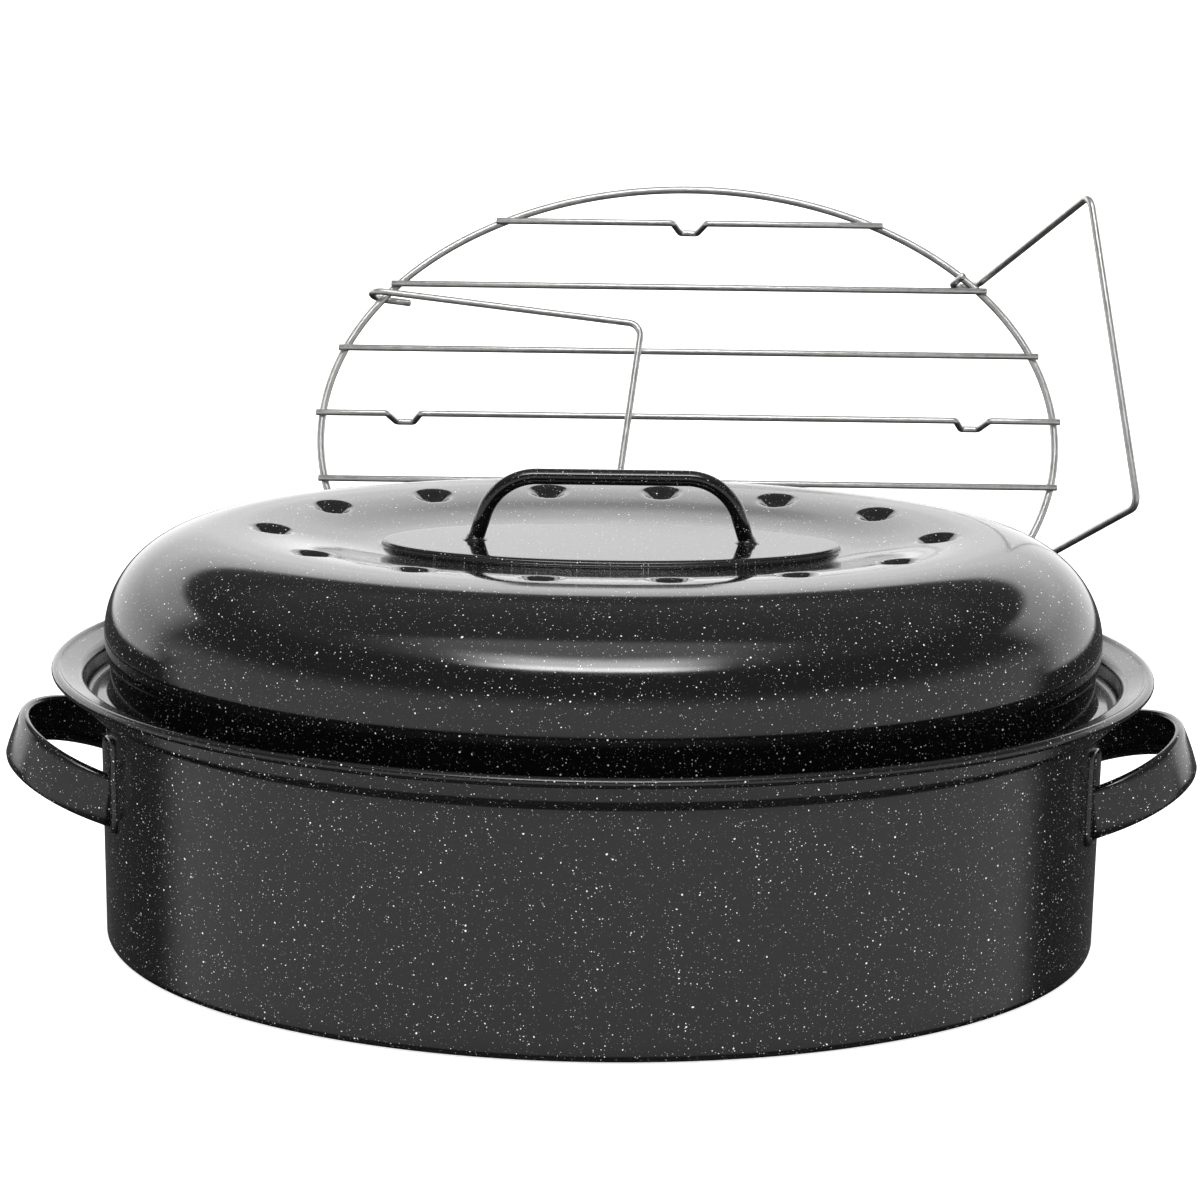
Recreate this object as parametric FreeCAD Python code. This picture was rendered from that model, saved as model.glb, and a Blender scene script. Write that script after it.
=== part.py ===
"""Covered oval roaster with a wire lift rack, in millimetres.

+X runs along the pan's long axis to its right handle, +Y to its back, +Z up.
The origin is the centre of the pan's flat underside. The rack stands on its rim behind the pan and
leans back.
Every oval is an ellipse; a parallel oval has both half-axes larger or smaller by one offset.
"""
import FreeCAD
import Part
import math
import os

# Pan
WALL_A = 201.0              # half-length of the wall, outside
WALL_B = 144.3              # half-width of the wall, outside
PAN_SHEET = 1.2
PAN_CORNER = 3.5            # outside radius of the bottom corner
SHOULDER_Z = 97.2           # where the wall starts to turn out into the gallery
SHOULDER_BEND = 3.0
GALLERY_OUT = 6.4           # the gallery wall stands this far outside the pan wall
GALLERY_TOP = 108.2
FLANGE_BEND = 3.5
FLANGE_SLOPE = math.radians(10)
BEAD_OUT = 17.0             # centre of the rolled bead, outside the pan wall
BEAD_Z = 113.1
BEAD_R = 2.0

# Lid
LID_A = 199.0               # half-length of the bulge, outside
LID_B = 142.5
LID_SHEET = 1.0
LIP_OUT = 5.5               # the lip stands this far outside the bulge
LIP_Z = 101.7
NECK_IN = 2.0               # the neck stands this far inside the bulge
NECK_TOP = 116.2
BULGE_Z = 126.4             # height of the bulge's widest line
BULGE_DROP = 7.0            # the bulge turns in to the neck over this height
SHOULDER_IN = 45.0          # offsets inward from the bulge, to the crest, the dish and the panel
CREST_Z = 167.5
DISH_START = 50.0
DISH_END = 107.0
DISH_Z = 160.9
PANEL_IN = 111.5
PANEL_Z = 163.0
PANEL_X = 2.5               # the panel and the arch on it stand this far to the right
DIMPLE_OVAL = (132.5, 79.0)
DIMPLE_STEPS = (24.0, 72.0, 112.0)      # X of the dimples on each long side
DIMPLE_TOP = 166.8
DIMPLE_R = 6.6
DIMPLE_DEEP = 3.4

# Handles
STRAP_WIDE = 20.5
STRAP_THICK = 2.4
STRAP_TILT = 21.0
STRAP_FOOT_Y = 45.0
STRAP_REACH = 241.0
STRAP_CORNER = 44.5
STRAP_FOOT_Z = 54.2
FOOT_PLATE = (53.2, 92.2)   # heights of the foot plates' ends
FOOT_PLATE_WIDE = 10.0
FOOT_PLATE_THICK = 1.6
ROD_R = 3.2
ARCH_HALF = 54.2            # from the middle to a foot
ARCH_LEAN = math.radians(18)
ARCH_TOP = 192.2
ARCH_CORNER = 22.0
WELD_R = 5.6
WELD_H = 2.2

# Rack, drawn flat in (u, v, w): u to the right, v up, and w out of its plane towards the pan
RACK_A = 194.0
RACK_B = 138.2
RING_R = 2.0
RACK_LEAN = 25.0
RACK_X = 45.0
RACK_Y = 396.0
RACK_Z = RACK_B * math.cos(math.radians(RACK_LEAN)) + RING_R
BAR_R = 1.7
BAR_PITCH = 35.6
BAR_COUNT = 7
BAR_SHIFT = 11.6            # the middle bar lies this far above the ring's centre
BAR_PAST = 3.0              # a bar ends this far past the ring's centre line
WELD_SINK = 0.4             # depth of the overlap where a bar is welded to the ring
FOOT_DEEP = 14.0
FOOT_SLANT = math.radians(4.5)          # the feet point this far down out of square with the rack
FOOT_HALF = 9.0
FOOT_BEND = 2.0
END_FOOT_IN = 46.0          # the end feet of the middle bar, in from its ends
BAIL_R = 1.8
HOOK_R = 7.7                # centre line of the hook round the ring
HOOK_TAIL = 12.0
BAIL_LEG = 138.0
BAIL_BEND = 7.0
LEFT_HOOKS = (76.7, -53.8)  # v of the upper and the lower hook
RIGHT_HOOKS = (88.5, -67.8)
LEFT_OPEN = 3.0             # bail angles, from folded flat on the bars
RIGHT_OPEN = 105.5

CURVE_STEPS = 6
WIRE_SIDES = 16


def arc(centre, radius, start, stop, steps=CURVE_STEPS):
    """Points along an arc in the (outwards, up) plane, angles in degrees."""
    points = []
    for i in range(steps + 1):
        angle = math.radians(start + (stop - start) * i / steps)
        points.append((centre[0] + radius * math.cos(angle), centre[1] + radius * math.sin(angle)))
    return points


def side_line(path, distance):
    """The path moved sideways: to its right for a positive distance."""
    moved = []
    for i, point in enumerate(path):
        before = path[max(i - 1, 0)]
        after = path[min(i + 1, len(path) - 1)]
        du, dz = after[0] - before[0], after[1] - before[1]
        length = math.hypot(du, dz)
        moved.append((point[0] + distance * dz / length, point[1] - distance * du / length))
    return moved


def no_drift(out):
    return 0.0


def panel_drift(out):
    """How far to the right an oval of the lid is centred: it grows across the dish to PANEL_X."""
    share = (-out - DISH_START) / (DISH_END - DISH_START)
    return PANEL_X * min(max(share, 0.0), 1.0)


def oval_wire(a, b, x, z):
    """An ellipse with its long axis along X."""
    curve = Part.Ellipse(FreeCAD.Vector(x, 0, z), a, b)
    return Part.Wire([curve.toShape()])


def oval_solid(a, b, section, closed=False, drift=no_drift):
    """A solid with one (outwards, up) section all round an oval of half-axes a and b.

    An open section starts and ends in a flat oval face; a closed one makes a ring.
    """
    wires = [oval_wire(a + out, b + out, drift(out), z) for out, z in section]
    pairs = list(zip(wires, wires[1:]))
    faces = [Part.makeRuledSurface(low.Edges[0], high.Edges[0]) for low, high in pairs]
    if closed:
        faces.append(Part.makeRuledSurface(wires[-1].Edges[0], wires[0].Edges[0]))
    else:
        faces += [Part.Face(wires[0]), Part.Face(wires[-1])]
    shell = Part.makeShell(faces)
    shell.sewShape()
    solid = Part.makeSolid(Part.Shell(shell.Faces))
    if solid.Volume < 0:
        solid.reverse()
    return solid


def rounded_path(points, radius):
    """A wire through the points with each corner turned by a tangent arc."""
    edges = []
    start = points[0]
    for i in range(1, len(points) - 1):
        before = (points[i - 1] - points[i]).normalize()
        after = (points[i + 1] - points[i]).normalize()
        half = before.getAngle(after) / 2
        reach = radius / math.tan(half)
        enter = points[i] + before * reach
        leave = points[i] + after * reach
        middle_way = (before + after).normalize()
        middle = points[i] + middle_way * (radius / math.sin(half) - radius)
        if (enter - start).Length > 1e-6:
            edges.append(Part.LineSegment(start, enter).toShape())
        edges.append(Part.Arc(enter, middle, leave).toShape())
        start = leave
    edges.append(Part.LineSegment(start, points[-1]).toShape())
    return Part.Wire(edges)


def wire_solid(path, radius):
    """Round wire along a path of lines and arcs."""
    first = path.OrderedEdges[0]
    at = first.valueAt(first.FirstParameter)
    along = first.tangentAt(first.FirstParameter)
    section = Part.Wire([Part.Circle(at, along, radius).toShape()])
    return path.makePipeShell([section], True, False)


def pan_section():
    """The pan's sheet, cut through from the underside's centre out to the rim and back."""
    half = PAN_SHEET / 2
    mid = arc((-PAN_CORNER, PAN_CORNER), PAN_CORNER - half, -90, 0)
    mid += arc((SHOULDER_BEND - half, SHOULDER_Z), SHOULDER_BEND, 180, 90)
    mid += arc((GALLERY_OUT - SHOULDER_BEND, SHOULDER_Z + 2 * SHOULDER_BEND), SHOULDER_BEND, -90, 0)
    turn = 90 + math.degrees(FLANGE_SLOPE)
    mid += arc((GALLERY_OUT + FLANGE_BEND, GALLERY_TOP), FLANGE_BEND, 180, turn)
    outside = side_line(mid, half)
    inside = side_line(mid, -half)
    bead = arc((BEAD_OUT, BEAD_Z), BEAD_R, -160, 150, 12)
    return outside + bead + inside[::-1]


def pan_body():
    return oval_solid(WALL_A, WALL_B, pan_section())


def lid_line():
    """The lid's outer surface, from the lip up over the bulge and in to the centre panel."""
    line = [(LIP_OUT, LIP_Z), (-NECK_IN, LIP_Z + 0.6), (-NECK_IN, NECK_TOP)]
    low = BULGE_Z - BULGE_DROP
    line += [(-NECK_IN + 0.7, NECK_TOP + 2.2), (-0.35, low + 1.5)]
    for i in range(1, 9):
        angle = math.radians(90 * i / 8)
        out = -SHOULDER_IN + SHOULDER_IN * math.cos(angle)
        line.append((out, BULGE_Z + (CREST_Z - BULGE_Z) * math.sin(angle)))
    for i in range(CURVE_STEPS + 1):
        part_way = i / CURVE_STEPS
        fall = (1 - math.cos(math.pi * part_way)) / 2
        out = DISH_START + (DISH_END - DISH_START) * part_way
        line.append((-out, CREST_Z - (CREST_Z - DISH_Z) * fall))
    line += [(-DISH_END - 1.0, DISH_Z + 0.6), (-DISH_END - 1.7, DISH_Z + 1.4)]
    line += [(-PANEL_IN + 1.4, PANEL_Z - 0.2), (-PANEL_IN, PANEL_Z)]
    return line


def lid_section():
    """The lid's sheet: out along its outer surface and back along its inner one."""
    outer = lid_line()
    inner = side_line(outer, -LID_SHEET)
    inner[0] = (LIP_OUT, LIP_Z - LID_SHEET * 0.6)
    return inner, outer


def dimple_centres():
    a, b = DIMPLE_OVAL
    centres = [(-a, 0.0), (a, 0.0)]
    for x in DIMPLE_STEPS:
        y = b * math.sqrt(1 - (x / a) ** 2)
        centres += [(sx * x, sy * y) for sx in (-1, 1) for sy in (-1, 1)]
    return centres


def lid_shell():
    """Inner and outer surfaces joined at the lip, with the dimples pressed in."""
    inner, outer = lid_section()
    under = oval_solid(LID_A, LID_B, [(inner[0][0], inner[0][1] - 6)] + inner, drift=panel_drift)
    over = oval_solid(LID_A, LID_B, [inner[0]] + outer, drift=panel_drift)
    ball_r = (DIMPLE_R ** 2 + DIMPLE_DEEP ** 2) / (2 * DIMPLE_DEEP)
    bosses, pockets = [], []
    for x, y in dimple_centres():
        centre = FreeCAD.Vector(x, y, DIMPLE_TOP - DIMPLE_DEEP + ball_r)
        pockets.append(Part.makeSphere(ball_r, centre))
        bosses.append(Part.makeSphere(ball_r + LID_SHEET, centre).common(over))
    shell = over.cut(under)
    shell = shell.multiFuse(bosses)
    return shell.cut(Part.makeCompound(pockets)).Solids[0]


def lid_handle():
    """Round rod bent into an arch, with a small weld collar at each foot."""
    top = ARCH_TOP - ROD_R
    lean = math.tan(ARCH_LEAN)
    high = ARCH_HALF - (top - PANEL_Z) * lean
    foot = ARCH_HALF + ROD_R * lean
    corners = [(-foot, PANEL_Z - ROD_R), (-high, top), (high, top), (foot, PANEL_Z - ROD_R)]
    path = rounded_path([FreeCAD.Vector(PANEL_X + x, 0, z) for x, z in corners], ARCH_CORNER)
    rod = wire_solid(path, ROD_R)
    below = Part.makeBox(4 * ARCH_HALF, 40, 40, FreeCAD.Vector(-2 * ARCH_HALF, -20, PANEL_Z - 40))
    welds = [Part.makeCone(WELD_R, ROD_R, WELD_H, FreeCAD.Vector(PANEL_X + x, 0, PANEL_Z))
             for x in (-ARCH_HALF, ARCH_HALF)]
    return rod.cut(below).multiFuse(welds).removeSplitter().Solids[0]


def strap_handle(side):
    """Wide strap bent into a D loop and tilted up, with two foot plates on the pan wall."""
    wall_x = WALL_A * math.sqrt(1 - (STRAP_FOOT_Y / WALL_B) ** 2)
    reach = (STRAP_REACH - wall_x) / math.cos(math.radians(STRAP_TILT))
    root = FreeCAD.Vector(wall_x, 0, STRAP_FOOT_Z)

    def loop_face(inset):
        far, wide = reach - inset, STRAP_FOOT_Y - inset
        bend = STRAP_CORNER - inset
        corners = [(-12, -wide), (far, -wide), (far, wide), (-12, wide)]
        points = [root + FreeCAD.Vector(x, y, 0) for x, y in corners]
        wire = rounded_path(points, bend)
        ends = [vertex.Point for vertex in (wire.OrderedVertexes[-1], wire.OrderedVertexes[0])]
        closing = Part.LineSegment(ends[0], ends[1]).toShape()
        return Part.Face(Part.Wire(wire.OrderedEdges + [closing]))

    up = FreeCAD.Vector(0, 0, STRAP_WIDE)
    strap = loop_face(0).extrude(up).cut(loop_face(STRAP_THICK).extrude(up))
    strap.rotate(root, FreeCAD.Vector(0, 1, 0), -STRAP_TILT)
    low, high = FOOT_PLATE
    band = [(-1, low), (FOOT_PLATE_THICK, low), (FOOT_PLATE_THICK, high), (-1, high)]
    ring = oval_solid(WALL_A, WALL_B, band)
    plates = []
    for y in (-STRAP_FOOT_Y, STRAP_FOOT_Y):
        start = y - math.copysign(STRAP_THICK / 2, y) - FOOT_PLATE_WIDE / 2
        block = Part.makeBox(40, FOOT_PLATE_WIDE, high - low, FreeCAD.Vector(wall_x - 20, start, low))
        plates.append(ring.common(block))
    handle = strap.multiFuse(plates)
    pan_block = oval_solid(WALL_A, WALL_B, [(0, 0), (0, SHOULDER_Z + 20)])
    handle = handle.cut(pan_block).Solids[0]
    if side < 0:
        handle = handle.mirror(FreeCAD.Vector(0, 0, 0), FreeCAD.Vector(1, 0, 0))
    return handle


def on_rack(shape):
    """Stand a shape drawn in the rack's own plane (x = u, y = v, z = w) behind the pan."""
    placed = shape.copy()
    placed.rotate(FreeCAD.Vector(0, 0, 0), FreeCAD.Vector(1, 0, 0), 90 - RACK_LEAN)
    placed.translate(FreeCAD.Vector(RACK_X, RACK_Y, RACK_Z))
    return placed


def ring_half(v):
    """Half the ring's length at height v, to its centre line."""
    return RACK_A * math.sqrt(1 - (v / RACK_B) ** 2)


def rack_ring():
    section = arc((0, 0), RING_R, 0, 360, WIRE_SIDES)[:-1]
    return on_rack(oval_solid(RACK_A, RACK_B, section, closed=True))


def rack_bar(number):
    """One cross wire, welded on the ring's side towards the pan, with its U feet to the other side."""
    middle = (BAR_COUNT + 1) // 2
    v = BAR_SHIFT + BAR_PITCH * (middle - number)
    half = ring_half(v) + BAR_PAST
    level = RING_R + BAR_R - WELD_SINK
    low_v = v - FOOT_DEEP * math.sin(FOOT_SLANT)
    low_level = level - FOOT_DEEP * math.cos(FOOT_SLANT)
    feet = []
    if number in (1, BAR_COUNT):
        feet = [0.0]
    if number == middle:
        feet = [-(half - END_FOOT_IN), half - END_FOOT_IN]
    points = [(-half, v, level)]
    for u in feet:
        points += [(u - FOOT_HALF, v, level), (u - FOOT_HALF / 2, low_v, low_level)]
        points += [(u + FOOT_HALF / 2, low_v, low_level), (u + FOOT_HALF, v, level)]
    points.append((half, v, level))
    vectors = [FreeCAD.Vector(*point) for point in points]
    if not feet:
        return on_rack(Part.makeCylinder(BAR_R, 2 * half, vectors[0], FreeCAD.Vector(1, 0, 0)))
    return on_rack(wire_solid(rounded_path(vectors, FOOT_BEND), BAR_R))


def rack_bail(side, hooks, opened):
    """U-shaped handle: two hooks round the ring, two legs and a grip, opened from flat on the bars.

    It is drawn with its hinge along y, its lower hook at the origin and its legs along x.
    """
    high, low = hooks
    high_u, low_u = ring_half(high), ring_half(low)
    wide = math.hypot(high_u - low_u, high - low)
    skew = math.degrees(math.atan2(low_u - high_u, high - low))

    def hook(y):
        tail = FreeCAD.Vector(HOOK_TAIL, y, -HOOK_R)
        back = FreeCAD.Vector(0, y, -HOOK_R)
        outer = FreeCAD.Vector(-HOOK_R, y, 0)
        front = FreeCAD.Vector(0, y, HOOK_R)
        return tail, back, outer, front

    tail, back, outer, front = hook(0)
    edges = [Part.LineSegment(tail, back).toShape(), Part.Arc(back, outer, front).toShape()]
    corners = [front, FreeCAD.Vector(BAIL_LEG, 0, HOOK_R), FreeCAD.Vector(BAIL_LEG, wide, HOOK_R)]
    tail, back, outer, front = hook(wide)
    edges += rounded_path(corners + [front], BAIL_BEND).OrderedEdges
    edges += [Part.Arc(front, outer, back).toShape(), Part.LineSegment(back, tail).toShape()]
    bail = wire_solid(Part.Wire(edges), BAIL_R)
    bail.rotate(FreeCAD.Vector(0, 0, 0), FreeCAD.Vector(0, 1, 0), -opened)
    bail.rotate(FreeCAD.Vector(0, 0, 0), FreeCAD.Vector(0, 0, 1), -skew)
    bail.translate(FreeCAD.Vector(-low_u, low, 0))
    if side > 0:
        bail = bail.mirror(FreeCAD.Vector(0, 0, 0), FreeCAD.Vector(1, 0, 0))
    return on_rack(bail)


def main():
    nodes = {
        "pan_body": pan_body(),
        "left_handle": strap_handle(-1),
        "right_handle": strap_handle(1),
        "lid_shell": lid_shell(),
        "lid_handle": lid_handle(),
        "rack_ring": rack_ring(),
        "left_bail": rack_bail(-1, LEFT_HOOKS, LEFT_OPEN),
        "right_bail": rack_bail(1, RIGHT_HOOKS, RIGHT_OPEN),
    }
    for number in range(1, BAR_COUNT + 1):
        nodes["rack_bar_%d" % number] = rack_bar(number)
    os.makedirs("parts", exist_ok=True)
    for name, shape in nodes.items():
        shape.exportStep("parts/%s.step" % name)
        box = shape.BoundBox
        low = (round(box.XMin, 1), round(box.YMin, 1), round(box.ZMin, 1))
        high = (round(box.XMax, 1), round(box.YMax, 1), round(box.ZMax, 1))
        print(name, shape.isValid(), len(shape.Solids), round(shape.Volume), low, high)


main()
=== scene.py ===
"""Looks for the covered oval roaster and its wire lift rack, in metres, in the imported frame."""
import math

import bpy
from mathutils import Matrix, Vector


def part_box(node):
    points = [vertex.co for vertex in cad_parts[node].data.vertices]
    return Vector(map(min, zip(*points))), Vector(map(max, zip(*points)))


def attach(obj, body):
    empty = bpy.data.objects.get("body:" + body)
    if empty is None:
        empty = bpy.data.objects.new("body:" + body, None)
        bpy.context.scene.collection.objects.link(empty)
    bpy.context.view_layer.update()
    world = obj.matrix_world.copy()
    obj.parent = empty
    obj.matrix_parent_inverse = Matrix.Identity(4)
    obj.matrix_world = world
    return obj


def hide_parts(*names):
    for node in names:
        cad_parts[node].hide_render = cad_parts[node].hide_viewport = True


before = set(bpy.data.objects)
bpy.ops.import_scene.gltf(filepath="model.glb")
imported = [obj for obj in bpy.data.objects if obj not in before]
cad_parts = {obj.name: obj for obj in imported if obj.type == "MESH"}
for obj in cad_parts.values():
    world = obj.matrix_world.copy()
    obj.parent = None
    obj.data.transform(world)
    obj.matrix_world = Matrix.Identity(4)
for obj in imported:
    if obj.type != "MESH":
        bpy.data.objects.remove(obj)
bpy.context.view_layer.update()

MM = 0.001


# ---------------------------------------------------------------- sizes read from the frame

def middle_and_half(node):
    """The middle and the half-size of a CAD node's box."""
    low, high = (Vector(corner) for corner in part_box(node))
    return (low + high) / 2, (high - low) / 2


pan_mid, pan_half = middle_and_half("pan_body")
lid_mid, lid_half = middle_and_half("lid_shell")
arch_mid, arch_half = middle_and_half("lid_handle")
ring_mid, ring_half = middle_and_half("rack_ring")
strap_mid, strap_half = middle_and_half("right_handle")

# Pan: every height is measured up from the underside, every offset out from the wall's ellipse
RIM_OUT = 19 * MM
WALL_A = pan_half.x - RIM_OUT
WALL_B = pan_half.y - RIM_OUT
PAN_SHEET = 1.2 * MM
PAN_CORNER = 3.5 * MM
SHOULDER_Z = 97.2 * MM
SHOULDER_BEND = 3 * MM
GALLERY_OUT = 6.4 * MM
GALLERY_TOP = 108.2 * MM
FLANGE_BEND = 3.5 * MM
FLANGE_SLOPE = 10
BEAD_R = 2 * MM
BEAD_OUT = RIM_OUT - BEAD_R
BEAD_Z = pan_mid.z + pan_half.z - BEAD_R

# Lid: offsets are measured out from the bulge's ellipse
LIP_OUT = 5.5 * MM
LIP_BEND = 2 * MM
LID_A = lid_half.x - LIP_OUT
LID_B = lid_half.y - LIP_OUT
LID_SHEET = 1.0 * MM
LID_LOW = lid_mid.z - lid_half.z
CREST_Z = lid_mid.z + lid_half.z
NECK_IN = 2 * MM
NECK_TOP = LID_LOW + 15 * MM
BULGE_Z = CREST_Z - 41.1 * MM
SHOULDER_IN = 45 * MM
DISH_START = 50 * MM
DISH_END = 107 * MM
DISH_DEEP = 6.6 * MM
PANEL_FOOT = 0.7 * MM
PANEL_EDGE = 1.8 * MM
PANEL_IN = 111.5 * MM
PANEL_Z = arch_mid.z - arch_half.z
PANEL_X = arch_mid.x
DIMPLE_A = 132.5 * MM
DIMPLE_B = 79 * MM
DIMPLE_STEPS = (24 * MM, 72 * MM, 112 * MM)
DIMPLE_R = 8.6 * MM
DIMPLE_DEEP = 4.2 * MM
DIMPLE_FLAT = 2.4
DIMPLE_SOFT = 1.8

# Lid handle
ROD_R = 3.2 * MM
ARCH_HALF = 54.2 * MM
ARCH_LEAN = math.radians(18)
ARCH_TOP = arch_mid.z + arch_half.z
ARCH_CORNER = 22 * MM
WELD_R = 5.6 * MM
WELD_H = 2.4 * MM
WELD_FLARE = 2.2

# Strap handles
STRAP_WIDE = 20.5 * MM
STRAP_TILT = math.radians(21)
STRAP_FOOT_Y = 45 * MM
STRAP_REACH = strap_mid.x + strap_half.x
STRAP_FOOT_Z = 54.2 * MM
STRAP_SHEET = 1.5 * MM
STRAP_CROWN = 0.5 * MM
STRAP_STRAIGHT = 0.5 * MM
HEM_R = 1.9 * MM
PLATE_LOW = 53.2 * MM
PLATE_HIGH = 92.2 * MM
PLATE_WIDE = 10 * MM
PLATE_THICK = 1.6 * MM
PLATE_SHIFT = 1.2 * MM
PLATE_SQUARE = 0.35

# Rack, drawn flat in (u, v, w): u to the right, v up, and w out of its plane towards the pan
RACK_LEAN = math.radians(25)
RING_R = 2 * MM
RING_A = ring_half.x - RING_R
RING_B = (ring_half.z - RING_R) / math.cos(RACK_LEAN)
BAR_R = 1.7 * MM
BAR_COUNT = 7
BAR_PITCH = 35.6 * MM
BAR_SHIFT = 11.6 * MM
BAR_LEVEL = RING_R + BAR_R - 0.4 * MM
FOOT_DEEP = 14 * MM
FOOT_SLANT = math.radians(4.5)
FOOT_HALF = 9 * MM
FOOT_BEND = 2 * MM
END_FOOT_IN = 46 * MM
BAIL_R = 1.8 * MM
HOOK_R = 7.7 * MM
HOOK_TAIL = 12 * MM
BAIL_LEG = 138 * MM
BAIL_BEND = 7 * MM
LEFT_HOOKS = (76.7 * MM, -53.8 * MM)
RIGHT_HOOKS = (88.5 * MM, -67.8 * MM)
LEFT_OPEN = math.radians(3)
RIGHT_OPEN = math.radians(105.5)
LUMP_SIZE = (2.4 * MM, 1.9 * MM, 1.2 * MM)

# How finely the meshes are cut
AROUND = 320
LID_AROUND = 640
RING_AROUND = 420
ROD_SIDES = 28
NECK_STEPS = 10
BULGE_STEPS = 32
DISH_STEPS = 46
STRAP_STEPS = 56


# ---------------------------------------------------------------- mesh tools

def new_piece(name, verts, faces, material):
    """A smooth-shaded mesh object in the scene."""
    mesh = bpy.data.meshes.new(name)
    mesh.from_pydata([tuple(v) for v in verts], [], faces)
    mesh.validate()
    mesh.materials.append(material)
    mesh.polygons.foreach_set("use_smooth", [True] * len(mesh.polygons))
    piece = bpy.data.objects.new(name, mesh)
    bpy.context.scene.collection.objects.link(piece)
    return piece


def loft(rings, loop=False):
    """Quads between rings of equal length; open ends close on their middle point."""
    count = len(rings[0])
    verts = [point for ring in rings for point in ring]
    faces = []
    spans = len(rings) if loop else len(rings) - 1
    for i in range(spans):
        low = i * count
        high = ((i + 1) % len(rings)) * count
        for k in range(count):
            m = (k + 1) % count
            faces.append((low + k, low + m, high + m, high + k))
    if not loop:
        for start, turn in ((0, -1), ((len(rings) - 1) * count, 1)):
            centre = sum((Vector(verts[start + k]) for k in range(count)), Vector()) / count
            verts.append(centre)
            tip = len(verts) - 1
            for k in range(count):
                pair = (start + k, start + (k + 1) % count)
                faces.append((*pair[::turn], tip))
    return verts, faces


def join_lofts(parts):
    """Several (verts, faces) in one list of each."""
    verts, faces = [], []
    for part_verts, part_faces in parts:
        base = len(verts)
        verts += part_verts
        faces += [tuple(base + i for i in face) for face in part_faces]
    return verts, faces


def arc(centre, radius, start, stop, steps):
    """Flat points along an arc, between two angles in degrees."""
    points = []
    for i in range(steps + 1):
        angle = math.radians(start + (stop - start) * i / steps)
        points.append((centre[0] + radius * math.cos(angle), centre[1] + radius * math.sin(angle)))
    return points


def side_line(path, distance):
    """A path moved sideways: to its right for a positive distance."""
    moved = []
    for i, point in enumerate(path):
        before = path[max(i - 1, 0)]
        after = path[min(i + 1, len(path) - 1)]
        along = Vector((after[0] - before[0], after[1] - before[1])).normalized()
        moved.append((point[0] + distance * along.y, point[1] - distance * along.x))
    return moved


def spread(path, step):
    """A path with points added so that none are further apart than step."""
    dense = [path[0]]
    for before, after in zip(path, path[1:]):
        count = max(1, math.ceil(math.dist(before, after) / step))
        for i in range(1, count + 1):
            dense.append(tuple(p + (q - p) * i / count for p, q in zip(before, after)))
    return dense


def oval_ring(a, b, z, around, x=0.0):
    """Points around a level ellipse whose middle is at x."""
    ring = []
    for k in range(around):
        angle = 2 * math.pi * k / around
        ring.append(Vector((x + a * math.cos(angle), b * math.sin(angle), z)))
    return ring


def oval_rings(a, b, section, around=AROUND):
    """One ellipse for each (outward offset, height) of a section."""
    return [oval_ring(a + out, b + out, z, around) for out, z in section]


def inner_rings(a, b, z, shares, around=AROUND, x=0.0):
    """Rings of one height that shrink towards the middle."""
    return [oval_ring(a * share, b * share, z, around, x) for share in shares]


def smooth_path(points, bends, step=1.2 * MM):
    """Points along straight runs joined by tangent arcs."""
    points = [Vector(p) for p in points]
    path = [points[0]]
    for i, bend in zip(range(1, len(points) - 1), bends):
        before = (points[i - 1] - points[i]).normalized()
        after = (points[i + 1] - points[i]).normalized()
        half = before.angle(after) / 2
        reach = bend / math.tan(half)
        centre = points[i] + (before + after).normalized() * (bend / math.sin(half))
        enter = points[i] + before * reach - centre
        leave = points[i] + after * reach - centre
        steps = max(6, math.ceil(enter.angle(leave) * bend / step))
        axis = enter.cross(leave).normalized()
        for k in range(steps + 1):
            turned = Matrix.Rotation(enter.angle(leave) * k / steps, 3, axis) @ enter
            path.append(centre + turned)
    path.append(points[-1])
    return path


def tube(path, radius, sides=20, closed=False):
    """Round wire along a path, with softly rounded ends."""
    path = [Vector(p) for p in path]
    count = len(path)
    tangents = []
    for i in range(count):
        if closed:
            tangents.append((path[(i + 1) % count] - path[i - 1]).normalized())
        else:
            tangents.append((path[min(i + 1, count - 1)] - path[max(i - 1, 0)]).normalized())
    normal = tangents[0].orthogonal().normalized()
    rings = []
    for i in range(count):
        normal = (normal - tangents[i] * normal.dot(tangents[i])).normalized()
        across = tangents[i].cross(normal)
        rings.append((path[i], tangents[i], normal, across))

    def ring_at(centre, normal, across, size):
        ring = []
        for k in range(sides):
            angle = 2 * math.pi * k / sides
            ring.append(centre + (normal * math.cos(angle) + across * math.sin(angle)) * size)
        return ring

    shape = [ring_at(c, n, s, radius) for c, _, n, s in rings]
    if closed:
        return loft(shape, loop=True)
    first, last = rings[0], rings[-1]
    for share, back in ((0.93, 0.10), (0.75, 0.20)):
        shape.insert(0, ring_at(first[0] - first[1] * radius * back, first[2], first[3], radius * share))
        shape.append(ring_at(last[0] + last[1] * radius * back, last[2], last[3], radius * share))
    return loft(shape)


def blob(centre, size, rows=8, sides=14):
    """A small rounded lump, for a weld."""
    rings = []
    for i in range(1, rows):
        up = math.pi * i / rows
        ring = []
        for k in range(sides):
            angle = 2 * math.pi * k / sides
            ring.append(Vector((
                centre[0] + size[0] * math.sin(up) * math.cos(angle),
                centre[1] + size[1] * math.sin(up) * math.sin(angle),
                centre[2] + size[2] * math.cos(up),
            )))
        rings.append(ring)
    return loft(rings)


# ---------------------------------------------------------------- materials

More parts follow.
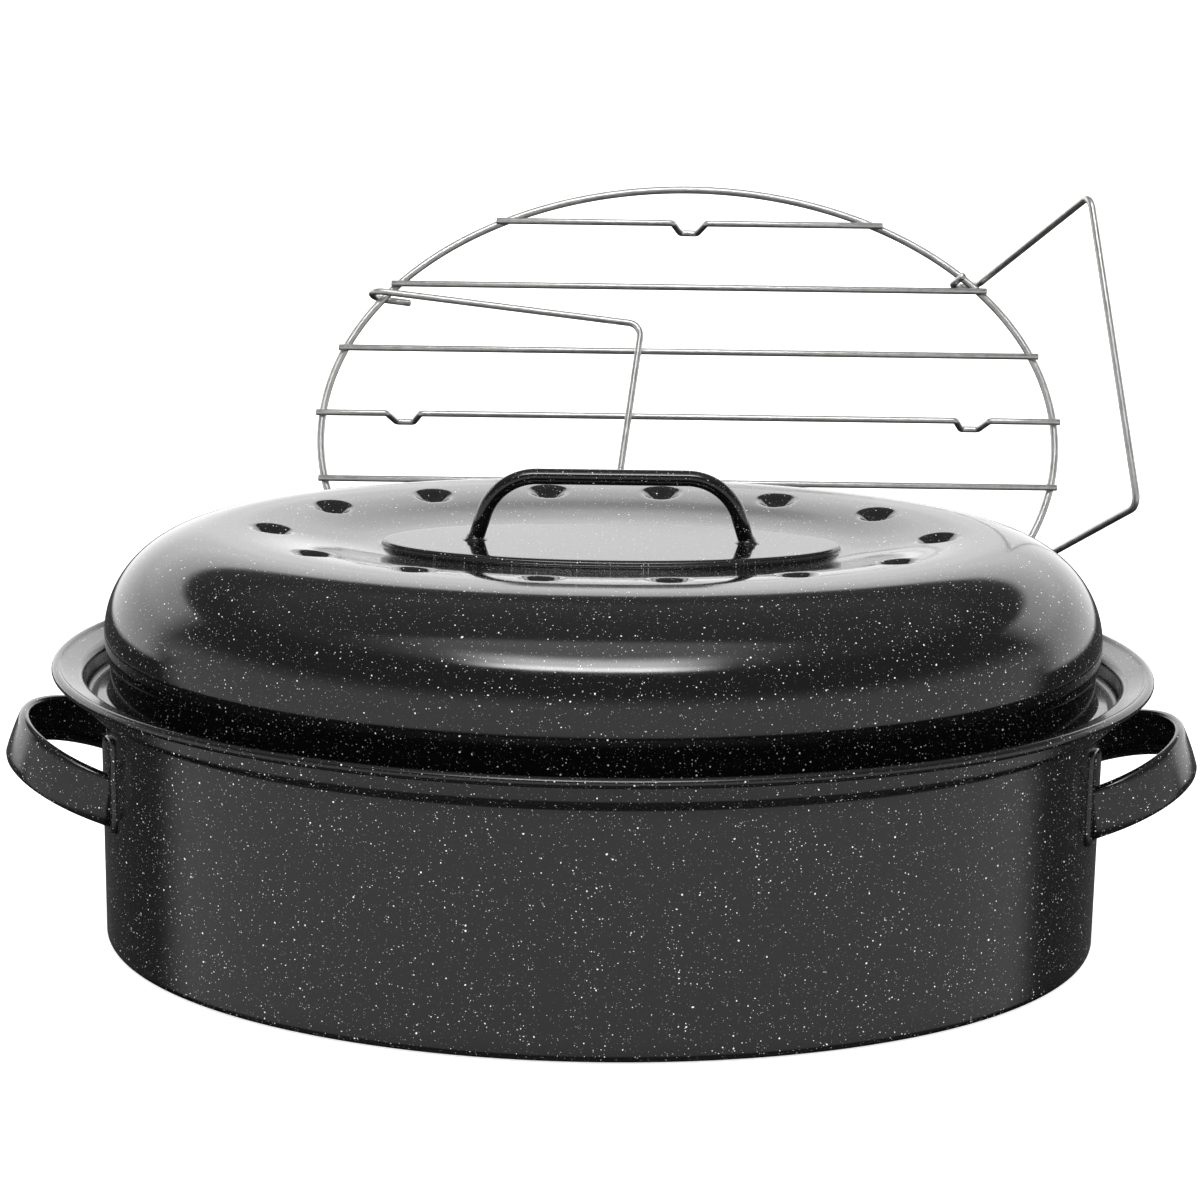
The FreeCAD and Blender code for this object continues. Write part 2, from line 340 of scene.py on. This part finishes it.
# White flecks in the enamel: cell size, grain radius, share of cells with a grain, brightness
FLECKS = (
    (2.3 * MM, 0.34 * MM, 0.6, 2.6),
    (1.4 * MM, 0.24 * MM, 0.75, 1.9),
    (0.85 * MM, 0.18 * MM, 0.8, 1.0),
)
FLECK_EDGE = 0.14 * MM
FLECK_RAISE = 0.15
FLECK_COLOUR = (0.86, 0.86, 0.85, 1)
GLAZE_COLOUR = (0.003, 0.003, 0.0033, 1)
PAN_ROUGH = 0.16
LID_ROUGH = 0.09
STEEL_DULL = (0.42, 0.418, 0.41, 1)
STEEL_BRIGHT = (0.54, 0.537, 0.53, 1)
STEEL_ROUGH = (0.30, 0.48)


def shader(name):
    """A new material with its nodes, links and main shader."""
    material = bpy.data.materials.new(name)
    material.use_nodes = True
    nodes = material.node_tree.nodes
    return material, nodes, material.node_tree.links, nodes["Principled BSDF"]


def maths(nodes, links, operation, first, second, clamp=False):
    """The output of a math node; each input is a number or another node's output."""
    node = nodes.new("ShaderNodeMath")
    node.operation = operation
    node.use_clamp = clamp
    for socket, value in zip(node.inputs, (first, second)):
        if isinstance(value, (int, float)):
            socket.default_value = value
        else:
            links.new(value, socket)
    return node.outputs[0]


def fleck_layer(nodes, links, coordinates, cell, radius, keep, bright):
    """White flecks: one round grain in some of the cells of a 3-D pattern.

    Each grain has its own size and brightness.
    """
    cells = nodes.new("ShaderNodeTexVoronoi")
    cells.voronoi_dimensions = "3D"
    cells.inputs["Scale"].default_value = 1 / cell
    cells.inputs["Randomness"].default_value = 1.0
    links.new(coordinates, cells.inputs["Vector"])
    split = nodes.new("ShaderNodeSeparateColor")
    links.new(cells.outputs["Color"], split.inputs["Color"])
    size = maths(nodes, links, "MULTIPLY_ADD", split.outputs["Red"], radius / cell * 0.7)
    size.node.inputs[2].default_value = radius / cell * 0.45
    inside = maths(nodes, links, "SUBTRACT", size, cells.outputs["Distance"])
    edge = maths(nodes, links, "MULTIPLY", inside, cell / FLECK_EDGE, clamp=True)
    kept = maths(nodes, links, "LESS_THAN", split.outputs["Green"], keep)
    level = maths(nodes, links, "POWER", split.outputs["Blue"], 1.6)
    level = maths(nodes, links, "MULTIPLY", level, bright)
    shown = maths(nodes, links, "MULTIPLY", edge, kept)
    return maths(nodes, links, "MULTIPLY", shown, level, clamp=True)


def make_enamel(name, rough):
    """Glossy black enamel with white flecks under the glaze and a faint ripple."""
    material, nodes, links, base = shader(name)
    place = nodes.new("ShaderNodeTexCoord").outputs["Object"]
    bend = nodes.new("ShaderNodeTexNoise")
    bend.inputs["Scale"].default_value = 420
    bend.inputs["Detail"].default_value = 3
    links.new(place, bend.inputs["Vector"])
    warp = nodes.new("ShaderNodeVectorMath")
    warp.operation = "MULTIPLY_ADD"
    links.new(bend.outputs["Color"], warp.inputs[0])
    warp.inputs[1].default_value = (1.3 * MM,) * 3
    links.new(place, warp.inputs[2])
    spot = warp.outputs[0]
    large, middle, fine = (fleck_layer(nodes, links, spot, *fleck) for fleck in FLECKS)
    flecks = maths(nodes, links, "MAXIMUM", large, middle)
    flecks = maths(nodes, links, "MAXIMUM", flecks, fine)
    colour = nodes.new("ShaderNodeMix")
    colour.data_type = "RGBA"
    colour.inputs["A"].default_value = GLAZE_COLOUR
    colour.inputs["B"].default_value = FLECK_COLOUR
    links.new(flecks, colour.inputs["Factor"])
    links.new(colour.outputs["Result"], base.inputs["Base Color"])
    cloud = nodes.new("ShaderNodeTexNoise")
    cloud.inputs["Scale"].default_value = 60
    links.new(place, cloud.inputs["Vector"])
    gloss = nodes.new("ShaderNodeMapRange")
    gloss.inputs["To Min"].default_value = rough * 0.8
    gloss.inputs["To Max"].default_value = rough * 1.3
    links.new(cloud.outputs["Fac"], gloss.inputs["Value"])
    links.new(gloss.outputs["Result"], base.inputs["Roughness"])
    ripple = nodes.new("ShaderNodeTexNoise")
    ripple.inputs["Scale"].default_value = 190
    ripple.inputs["Detail"].default_value = 1.0
    links.new(place, ripple.inputs["Vector"])
    height = maths(nodes, links, "MULTIPLY_ADD", flecks, FLECK_RAISE)
    links.new(ripple.outputs["Fac"], height.node.inputs[2])
    bump = nodes.new("ShaderNodeBump")
    bump.inputs["Strength"].default_value = 0.25
    bump.inputs["Distance"].default_value = 0.03 * MM
    links.new(height, bump.inputs["Height"])
    links.new(bump.outputs["Normal"], base.inputs["Normal"])
    base.inputs["IOR"].default_value = 1.52
    return material


def make_plated_steel():
    """Bright plated wire with small dull patches and a fine bump from the same pattern."""
    material, nodes, links, base = shader("plated_steel")
    place = nodes.new("ShaderNodeTexCoord").outputs["Object"]
    base.inputs["Metallic"].default_value = 1.0
    patches = nodes.new("ShaderNodeTexNoise")
    patches.inputs["Scale"].default_value = 220
    patches.inputs["Detail"].default_value = 4
    links.new(place, patches.inputs["Vector"])
    tone = nodes.new("ShaderNodeValToRGB")
    tone.color_ramp.elements[0].position = 0.3
    tone.color_ramp.elements[0].color = STEEL_DULL
    tone.color_ramp.elements[1].position = 0.62
    tone.color_ramp.elements[1].color = STEEL_BRIGHT
    links.new(patches.outputs["Fac"], tone.inputs["Fac"])
    links.new(tone.outputs["Color"], base.inputs["Base Color"])
    gloss = nodes.new("ShaderNodeMapRange")
    gloss.inputs["To Min"].default_value = STEEL_ROUGH[0]
    gloss.inputs["To Max"].default_value = STEEL_ROUGH[1]
    links.new(patches.outputs["Fac"], gloss.inputs["Value"])
    links.new(gloss.outputs["Result"], base.inputs["Roughness"])
    bump = nodes.new("ShaderNodeBump")
    bump.inputs["Strength"].default_value = 0.2
    bump.inputs["Distance"].default_value = 0.05 * MM
    links.new(patches.outputs["Fac"], bump.inputs["Height"])
    links.new(bump.outputs["Normal"], base.inputs["Normal"])
    return material


pan_enamel = make_enamel("pan_enamel", PAN_ROUGH)
lid_enamel = make_enamel("lid_enamel", LID_ROUGH)
plated_steel = make_plated_steel()


# ---------------------------------------------------------------- pan

def make_pan():
    """The pan's sheet with its rolled bead, closed across the floor."""
    half = PAN_SHEET / 2
    mid = arc((-PAN_CORNER, PAN_CORNER), PAN_CORNER - half, -90, 0, 14)
    mid += arc((SHOULDER_BEND - half, SHOULDER_Z), SHOULDER_BEND, 180, 90, 8)
    mid += arc((GALLERY_OUT - SHOULDER_BEND, SHOULDER_Z + 2 * SHOULDER_BEND), SHOULDER_BEND, -90, 0, 8)
    mid += arc((GALLERY_OUT + FLANGE_BEND, GALLERY_TOP), FLANGE_BEND, 180, 90 + FLANGE_SLOPE, 8)
    mid = spread(mid, 6 * MM)
    outside = side_line(mid, half)
    inside = side_line(mid, -half)
    bead = arc((BEAD_OUT, BEAD_Z), BEAD_R, -160, 150, 20)
    section = outside + spread([outside[-1], bead[0]], 1.5 * MM)[1:-1] + bead
    section += spread([bead[-1], inside[-1]], 1.5 * MM)[1:-1] + inside[::-1]
    floor_a, floor_b = WALL_A - PAN_CORNER, WALL_B - PAN_CORNER
    shares = (0.02, 0.25, 0.5, 0.75, 0.9, 0.98)
    rings = inner_rings(floor_a, floor_b, 0, shares)
    rings += oval_rings(WALL_A, WALL_B, section)
    rings += inner_rings(floor_a, floor_b, PAN_SHEET, shares[::-1])
    pan = new_piece("pan", *loft(rings), pan_enamel)
    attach(pan, "pan")
    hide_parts("pan_body")


# ---------------------------------------------------------------- lid

def dimple_centres():
    """Two dimples on the long axis and three more in each quarter of their ellipse."""
    centres = [Vector((-DIMPLE_A, 0)), Vector((DIMPLE_A, 0))]
    for x in DIMPLE_STEPS:
        y = DIMPLE_B * math.sqrt(1 - (x / DIMPLE_A) ** 2)
        centres += [Vector((sx * x, sy * y)) for sx in (-1, 1) for sy in (-1, 1)]
    return centres


def press_dimples(rings, centres):
    """Sinks every point near a dimple's centre by a smooth round cup."""
    for ring in rings:
        for point in ring:
            for centre in centres:
                share = (point.xy - centre).length / DIMPLE_R
                if share < 1:
                    point.z -= DIMPLE_DEEP * (1 - share ** DIMPLE_FLAT) ** DIMPLE_SOFT


def lid_line():
    """The lid's outer surface, from the lip up over the bulge and in to the centre panel."""
    line = [(LIP_OUT, LID_LOW + 0.5 * MM), (LIP_OUT - 0.2 * MM, LID_LOW + LID_SHEET)]
    line += arc((-NECK_IN + LIP_BEND, LID_LOW + LID_SHEET + LIP_BEND), LIP_BEND, -90, -180, 6)
    line.append((-NECK_IN, NECK_TOP))
    turn = Vector((NECK_IN, BULGE_Z - NECK_TOP))
    for i in range(1, NECK_STEPS + 1):
        share = i / NECK_STEPS
        out = -NECK_IN + turn.x * math.sin(math.pi / 2 * share)
        line.append((out, NECK_TOP + turn.y * (share ** 1.3)))
    for i in range(1, BULGE_STEPS + 1):
        angle = math.radians(90 * i / BULGE_STEPS)
        out = -SHOULDER_IN * (1 - math.cos(angle))
        line.append((out, BULGE_Z + (CREST_Z - BULGE_Z) * math.sin(angle)))
    for i in range(DISH_STEPS + 1):
        share = i / DISH_STEPS
        fall = (1 - math.cos(math.pi * share)) / 2
        out = DISH_START + (DISH_END - DISH_START) * share
        line.append((-out, CREST_Z - DISH_DEEP * fall))
    return line


def panel_line():
    """The step up to the centre panel: a tight foot, then a rounded edge."""
    low = CREST_Z - DISH_DEEP
    rise = PANEL_Z - low
    line = []
    for degrees in (25, 50, 75):
        angle = math.radians(degrees)
        out = DISH_END + PANEL_FOOT * math.sin(angle)
        line.append((-out, low + PANEL_FOOT * (1 - math.cos(angle))))
    for i in range(1, 13):
        angle = math.radians(90 * i / 12)
        out = DISH_END + PANEL_FOOT + PANEL_EDGE * (1 - math.cos(angle))
        line.append((-out, low + PANEL_FOOT + (rise - PANEL_FOOT) * math.sin(angle)))
    line.append((-PANEL_IN, PANEL_Z))
    return line


def lid_rings(section, around):
    """Rings of the lid, drifting to the right across the dish until they are centred on the panel."""
    rings = []
    for out, z in section:
        share = min(max((-out - DISH_START) / (DISH_END - DISH_START), 0), 1)
        rings.append(oval_ring(LID_A + out, LID_B + out, z, around, PANEL_X * share))
    return rings


def make_lid():
    """The lid's sheet, dimpled and closed across the centre panel."""
    outer = spread(lid_line(), 3 * MM) + panel_line()
    inner = side_line(outer, -LID_SHEET)
    centres = dimple_centres()
    panel_a, panel_b = LID_A - PANEL_IN, LID_B - PANEL_IN
    shares = (0.97, 0.9, 0.75, 0.5, 0.25, 0.03)
    top = lid_rings(outer, LID_AROUND)
    under = lid_rings(inner, LID_AROUND)
    press_dimples(top, centres)
    press_dimples(under, centres)
    top += inner_rings(panel_a, panel_b, PANEL_Z, shares, LID_AROUND, PANEL_X)
    under += inner_rings(panel_a, panel_b, PANEL_Z - LID_SHEET, shares, LID_AROUND, PANEL_X)
    lid = new_piece("lid", *loft(under[::-1] + top), lid_enamel)
    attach(lid, "lid")
    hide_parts("lid_shell")


def make_lid_handle():
    """The rod arch, with a flared weld collar at each foot."""
    top = ARCH_TOP - ROD_R
    low = PANEL_Z - 0.5 * MM
    high_half = ARCH_HALF - (top - PANEL_Z) * math.tan(ARCH_LEAN)
    corners = [(-ARCH_HALF, 0, low), (-high_half, 0, top), (high_half, 0, top), (ARCH_HALF, 0, low)]
    corners = [(PANEL_X + x, y, z) for x, y, z in corners]
    rod = tube(smooth_path(corners, (ARCH_CORNER, ARCH_CORNER)), ROD_R, sides=ROD_SIDES)
    parts = [rod]
    for x in (PANEL_X - ARCH_HALF, PANEL_X + ARCH_HALF):
        rings = []
        for i in range(9):
            share = i / 8
            flare = ROD_R * 0.98 + (WELD_R - ROD_R) * (1 - share) ** WELD_FLARE
            ring = oval_ring(flare, flare, PANEL_Z - 0.2 * MM + WELD_H * share, ROD_SIDES)
            rings.append([point + Vector((x, 0, 0)) for point in ring])
        parts.append(loft(rings))
    arch = new_piece("lid_arch", *join_lofts(parts), lid_enamel)
    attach(arch, "lid")
    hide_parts("lid_handle")


# ---------------------------------------------------------------- strap handles

def strap_profile():
    """The strap cut across: (out, up), a thin crowned band with both edges hemmed inwards."""
    half = STRAP_WIDE / 2
    profile = []
    for i in range(9):
        up = -half + HEM_R + (STRAP_WIDE - 2 * HEM_R) * i / 8
        profile.append((STRAP_CROWN * (1 - (up / half) ** 2), up))
    profile += arc((-HEM_R, half - HEM_R), HEM_R, 20, 250, 10)
    for i in range(7):
        up = half - 2.2 * HEM_R - (STRAP_WIDE - 4.4 * HEM_R) * i / 6
        profile.append((-STRAP_SHEET, up))
    profile += arc((-HEM_R, -half + HEM_R), HEM_R, 110, 340, 10)
    return profile


def make_strap(side):
    """A strap handle: a half ring that tilts up from two foot plates on the pan's wall."""
    profile = strap_profile()
    tilt = Matrix.Rotation(-STRAP_TILT, 3, "Y")
    wall_x = WALL_A * math.sqrt(1 - (STRAP_FOOT_Y / WALL_B) ** 2)
    root = Vector((wall_x, 0, STRAP_FOOT_Z))
    reach = (STRAP_REACH - wall_x) / math.cos(STRAP_TILT)
    bend = STRAP_FOOT_Y - STRAP_STRAIGHT
    along = tilt @ Vector((1, 0, 0))

    def place(x, y, normal, out, up):
        flat = Vector((x, y, 0)) + normal * out + Vector((0, 0, up + STRAP_WIDE / 2))
        return root + tilt @ flat

    rings = []
    centre_x = reach - bend
    for i in range(STRAP_STEPS + 1):
        angle = math.radians(-90 + 180 * i / STRAP_STEPS)
        normal = Vector((math.cos(angle), math.sin(angle), 0))
        edge = math.copysign(STRAP_STRAIGHT, math.sin(angle))
        x, y = centre_x + bend * normal.x, bend * normal.y + edge * abs(normal.y)
        rings.append([place(x, y, normal, out, up) for out, up in profile])
    for end in (0, -1):
        meeting = []
        for point in rings[end]:
            wall = (WALL_A - PAN_SHEET / 2) * math.sqrt(1 - (point.y / WALL_B) ** 2)
            meeting.append(point + along * ((wall - point.x) / along.x))
        if end == 0:
            rings.insert(0, meeting)
        else:
            rings.append(meeting)
    parts = [loft(rings)]
    for foot in (-STRAP_FOOT_Y, STRAP_FOOT_Y):
        parts.append(foot_plate(foot - math.copysign(PLATE_SHIFT, foot)))
    verts, faces = join_lofts(parts)
    if side < 0:
        verts = [Vector((-v.x, v.y, v.z)) for v in verts]
        faces = [face[::-1] for face in faces]
    name = "left" if side < 0 else "right"
    strap = new_piece(name + "_strap", verts, faces, pan_enamel)
    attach(strap, "pan")
    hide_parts(name + "_handle")


def foot_plate(middle_y):
    """A rounded plate that follows the pan wall under the strap's end."""
    rings = []
    half_w, half_h = PLATE_WIDE / 2, (PLATE_HIGH - PLATE_LOW) / 2
    middle_z = (PLATE_LOW + PLATE_HIGH) / 2
    for grow, out in ((1.0, -0.3), (1.0, 0.55), (0.96, 0.85), (0.86, 1.0), (0.5, 1.04), (0.1, 1.05)):
        ring = []
        for k in range(40):
            angle = 2 * math.pi * k / 40
            corner_x = abs(math.cos(angle)) ** PLATE_SQUARE * math.copysign(1, math.cos(angle))
            corner_z = abs(math.sin(angle)) ** PLATE_SQUARE * math.copysign(1, math.sin(angle))
            inset = half_w * (1 - grow)
            y = middle_y + (half_w - inset) * corner_x
            z = middle_z + (half_h - inset) * corner_z
            far = PLATE_THICK * out
            x = (WALL_A + far) * math.sqrt(1 - (y / (WALL_B + far)) ** 2)
            ring.append(Vector((x, y, z)))
        rings.append(ring)
    return loft(rings)


# ---------------------------------------------------------------- rack

def on_rack(points):
    """From the rack's own plane to where it leans."""
    lean = Matrix.Rotation(math.radians(90) - RACK_LEAN, 3, "X")
    return [ring_mid + lean @ Vector(point) for point in points]


def ring_reach(v):
    """Half the ring's length at height v, to its centre line."""
    return RING_A * math.sqrt(1 - (v / RING_B) ** 2)


def wire_piece(name, parts, body, *nodes):
    """A plated piece that rides on a body in place of CAD nodes."""
    piece = new_piece(name, *join_lofts(parts), plated_steel)
    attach(piece, body)
    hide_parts(*nodes)


def make_ring():
    """The rack's oval ring."""
    loop = []
    for k in range(RING_AROUND):
        angle = 2 * math.pi * k / RING_AROUND
        loop.append((RING_A * math.cos(angle), RING_B * math.sin(angle), 0))
    wire_piece("ring_wire", [tube(on_rack(loop), RING_R, closed=True)], "rack", "rack_ring")


def make_bar(number):
    """A cross wire with its feet, and the weld lump at each crossing of the ring."""
    node = "rack_bar_%d" % number
    _, half_size = middle_and_half(node)
    middle = (BAR_COUNT + 1) // 2
    v = BAR_SHIFT + BAR_PITCH * (middle - number)
    half = half_size.x
    feet = []
    if number in (1, BAR_COUNT):
        feet = [0.0]
    if number == middle:
        feet = [-(half - END_FOOT_IN), half - END_FOOT_IN]
    low_v = v - FOOT_DEEP * math.sin(FOOT_SLANT)
    low_level = BAR_LEVEL - FOOT_DEEP * math.cos(FOOT_SLANT)
    points = [(-half, v, BAR_LEVEL)]
    for u in feet:
        points += [(u - FOOT_HALF, v, BAR_LEVEL), (u - FOOT_HALF / 2, low_v, low_level)]
        points += [(u + FOOT_HALF / 2, low_v, low_level), (u + FOOT_HALF, v, BAR_LEVEL)]
    points.append((half, v, BAR_LEVEL))
    path = smooth_path(on_rack(points), [FOOT_BEND] * (len(points) - 2))
    welds = []
    for u in (-ring_reach(v), ring_reach(v)):
        lump, faces = blob((u, v, RING_R), LUMP_SIZE)
        welds.append((on_rack(lump), faces))
    wire_piece("bar_wire_%d" % number, [tube(path, BAR_R)] + welds, "rack", node)


def make_bail(side, hooks, opened):
    """A U-shaped lifting handle with a hook round the ring at each end of it.

    It is drawn with its hinge along v, its lower hook at the origin and its legs along u.
    """
    high, low = hooks
    high_u, low_u = ring_reach(high), ring_reach(low)
    wide = math.hypot(high_u - low_u, high - low)
    skew = math.atan2(low_u - high_u, high - low)
    hook = [(HOOK_TAIL, -HOOK_R)] + arc((0, 0), HOOK_R, 270, 90, 24)
    corners = [(0, 0, HOOK_R), (BAIL_LEG, 0, HOOK_R), (BAIL_LEG, wide, HOOK_R), (0, wide, HOOK_R)]
    grip = smooth_path(corners, (BAIL_BEND, BAIL_BEND))
    flat = [(u, 0, w) for u, w in hook] + grip[1:-1] + [(u, wide, w) for u, w in hook[::-1]]
    turn = Matrix.Rotation(-skew, 3, "Z") @ Matrix.Rotation(-opened, 3, "Y")
    placed = []
    for point in flat:
        u, v, w = turn @ Vector(point)
        placed.append((side * (low_u - u), low + v, w))
    name = "left_bail" if side < 0 else "right_bail"
    wire_piece(name + "_wire", [tube(on_rack(placed), BAIL_R)], name, name)


# ---------------------------------------------------------------- studio

CAMERA_DISTANCE = 1.168
CAMERA_HEIGHT = 0.4322
CAMERA_ACROSS = -0.0057
CAMERA_YAW = math.radians(0.2)
CAMERA_PITCH = math.radians(14.1)
CAMERA_ROLL = math.radians(0.81)
CAMERA_LENS = 90.3

# Radiance of each part of the studio
ROOM_LIGHT = 1.3
WALL_LIGHT = (2.0, 2.4)
LOW_FRONT_LIGHT = 0.95
HIGH_FRONT_LIGHT = 0.22
CEILING_LIGHT = 0.16
GLOW_LIGHT = 1.3
LAMP_LIGHT = 9.0
LAMP_EDGE_LIGHT = 11.0
FLOOR_GLOW = 0.62
# The share of the front's grey that is left towards the floor
FLOOR_SHARE = 0.10

# Where soft edges start and stop, as the north, east or up part of a unit direction
WALL_NORTH = (0.05, 0.4)
WALL_FOOT = (-0.12, -0.06)
WALL_BRIGHTER = (0.27, 0.38)
WALL_TOP = (0.52, 0.58)
FRONT_UP = (0.10, 0.42)
UNDER_UP = (-0.62, -0.32)
HORIZON_UP = (-0.05, 0.05)
BACK_NORTH = (0.0, 0.25)
CEILING_UP = (0.68, 0.80)
LAMP_NORTH = (-0.1, -0.2)
LAMP_EAST = (-0.38, -0.14, 0.10, 0.32)
LAMP_UP = (0.740, 0.757, 0.83, 0.91)
LAMP_EDGE_UP = (LAMP_UP[0], LAMP_UP[1], LAMP_UP[1] + 0.02, LAMP_UP[1] + 0.05)
GLOW_EAST = (-0.60, -0.20, 0.15, 0.50)
GLOW_UP = (LAMP_UP[0], LAMP_UP[2])


def make_camera():
    """A long lens in front of the pan, a little above it and looking down."""
    data = bpy.data.cameras.new("camera")
    data.sensor_width = 36
    data.lens = CAMERA_LENS
    camera = bpy.data.objects.new("camera", data)
    bpy.context.scene.collection.objects.link(camera)
    ahead = Vector((
        math.sin(CAMERA_YAW) * math.cos(CAMERA_PITCH),
        math.cos(CAMERA_YAW) * math.cos(CAMERA_PITCH),
        -math.sin(CAMERA_PITCH),
    ))
    right = Vector((math.cos(CAMERA_YAW), -math.sin(CAMERA_YAW), 0))
    up = right.cross(ahead)
    tilted_right = right * math.cos(CAMERA_ROLL) + up * math.sin(CAMERA_ROLL)
    tilted_up = up * math.cos(CAMERA_ROLL) - right * math.sin(CAMERA_ROLL)
    turn = Matrix((tilted_right, tilted_up, -ahead)).transposed()
    spot = Vector((pan_mid.x + CAMERA_ACROSS, pan_mid.y - CAMERA_DISTANCE, CAMERA_HEIGHT))
    camera.matrix_world = Matrix.Translation(spot) @ turn.to_4x4()
    data.clip_end = 100
    bpy.context.scene.camera = camera


def make_floor():
    """White paper that glows softly, so that shadows on it stay faint. Glossy surfaces don't mirror it."""
    material, nodes, links, base = shader("floor_paper")
    base.inputs["Base Color"].default_value = (0.95, 0.95, 0.95, 1)
    base.inputs["Roughness"].default_value = 0.9
    base.inputs["Specular IOR Level"].default_value = 0.1
    base.inputs["Emission Color"].default_value = (1, 1, 1, 1)
    base.inputs["Emission Strength"].default_value = FLOOR_GLOW
    half = 40
    corners = [(-half, -half, 0), (half, -half, 0), (half, half, 0), (-half, half, 0)]
    floor = new_piece("floor", corners, [(0, 1, 2, 3)], material)
    floor.visible_glossy = False


def make_world():
    """Plain soft studio light, painted by direction.

    Glossy surfaces mirror a white wall behind the object, grey in front and overhead, a dark floor,
    and one soft lamp high in front with a brighter lower edge and a wide glow. Everything else is
    lit evenly.
    """
    world = bpy.data.worlds.new("studio")
    bpy.context.scene.world = world
    world.use_nodes = True
    nodes, links = world.node_tree.nodes, world.node_tree.links
    back = nodes["Background"]
    back.inputs["Color"].default_value = (1, 1, 1, 1)
    direction = nodes.new("ShaderNodeTexCoord").outputs["Generated"]
    split = nodes.new("ShaderNodeSeparateXYZ")
    links.new(direction, split.inputs[0])
    east, north, up = split.outputs

    def ramp(value, low, high, start, stop):
        node = nodes.new("ShaderNodeMapRange")
        node.interpolation_type = "SMOOTHSTEP"
        for name, number in (("From Min", low), ("From Max", high), ("To Min", start), ("To Max", stop)):
            node.inputs[name].default_value = number
        links.new(value, node.inputs["Value"])
        return node.outputs["Result"]

    def product(*values):
        result = values[0]
        for value in values[1:]:
            result = maths(nodes, links, "MULTIPLY", result, value)
        return result

    def window(value, edges):
        """One between the two middle edges, with soft flanks out to the outer two."""
        return product(ramp(value, edges[0], edges[1], 0, 1), ramp(value, edges[2], edges[3], 1, 0))

    wall = product(
        ramp(north, *WALL_NORTH, 0, 1),
        ramp(up, *WALL_TOP, 1, 0),
        ramp(up, *WALL_FOOT, 0, 1),
        ramp(up, *WALL_BRIGHTER, *WALL_LIGHT),
    )
    grey = ramp(up, *FRONT_UP, LOW_FRONT_LIGHT, HIGH_FRONT_LIGHT)
    grey = product(grey, ramp(up, *UNDER_UP, FLOOR_SHARE, 1))
    # Below the horizon the grey also fades towards the back
    faded = ramp(north, *BACK_NORTH, 1, FLOOR_SHARE)
    grey = product(grey, maths(nodes, links, "MAXIMUM", faded, ramp(up, *HORIZON_UP, 0, 1)))
    ceiling = ramp(up, *CEILING_UP, 0, CEILING_LIGHT)
    facing = ramp(north, *LAMP_NORTH, 0, 1)
    lamp = product(facing, window(east, LAMP_EAST), window(up, LAMP_UP), LAMP_LIGHT)
    lamp_edge = product(facing, window(east, LAMP_EAST), window(up, LAMP_EDGE_UP), LAMP_EDGE_LIGHT)
    glow = product(facing, window(east, GLOW_EAST), ramp(up, *GLOW_UP, 0, 1), GLOW_LIGHT)
    light = maths(nodes, links, "MAXIMUM", wall, grey)
    for extra in (ceiling, lamp, lamp_edge, glow):
        light = maths(nodes, links, "ADD", light, extra)
    rays = nodes.new("ShaderNodeLightPath")
    seen = nodes.new("ShaderNodeMix")
    seen.data_type = "FLOAT"
    links.new(rays.outputs["Is Glossy Ray"], seen.inputs["Factor"])
    seen.inputs["A"].default_value = ROOM_LIGHT
    links.new(light, seen.inputs["B"])
    links.new(seen.outputs["Result"], back.inputs["Strength"])


def make_studio():
    """The light, the floor and plain colours."""
    make_world()
    make_floor()
    bpy.context.scene.view_settings.view_transform = "Standard"


make_camera()
make_studio()
make_pan()
make_lid()
make_lid_handle()
make_strap(-1)
make_strap(1)
make_ring()
for bar_number in range(1, BAR_COUNT + 1):
    make_bar(bar_number)
make_bail(-1, LEFT_HOOKS, LEFT_OPEN)
make_bail(1, RIGHT_HOOKS, RIGHT_OPEN)
